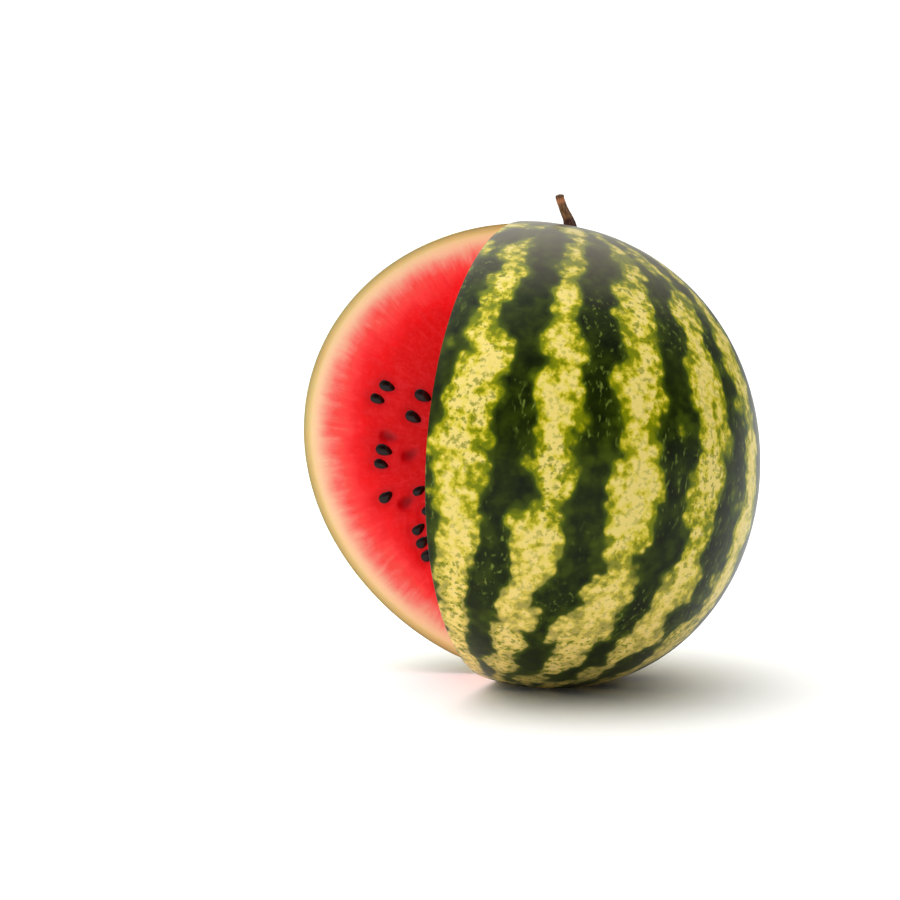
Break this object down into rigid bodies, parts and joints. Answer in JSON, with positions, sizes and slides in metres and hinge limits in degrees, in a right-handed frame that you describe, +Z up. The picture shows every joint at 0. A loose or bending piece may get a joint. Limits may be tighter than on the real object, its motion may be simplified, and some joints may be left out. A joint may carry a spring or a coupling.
{
  "type": "cut watermelon",
  "caption": "Round striped seeded watermelon with a wedge cut out, showing red flesh, pale rind and dark seeds, with a dry stem stub, standing on its flat ground spot.",
  "frame": {"origin": "middle of the flat ground spot, on the surface that the fruit stands on", "axes": "+Z up, towards the stem; the missing wedge opens towards -X and -Y, between a cut face that looks along -Y and one that looks towards -X; -Y is the side that the picture is taken from"},
  "size_m": [0.2432, 0.2458, 0.2602],
  "materials": {
    "fruit": "waxy striped skin over cream rind and wet red flesh",
    "seed": "smooth wet seed coat",
    "stem": "dry ridged stalk"
  },
  "bodies": {
    "root": {"fruit": "fruit", "stem": "stem"}
  },
  "joints": []
}
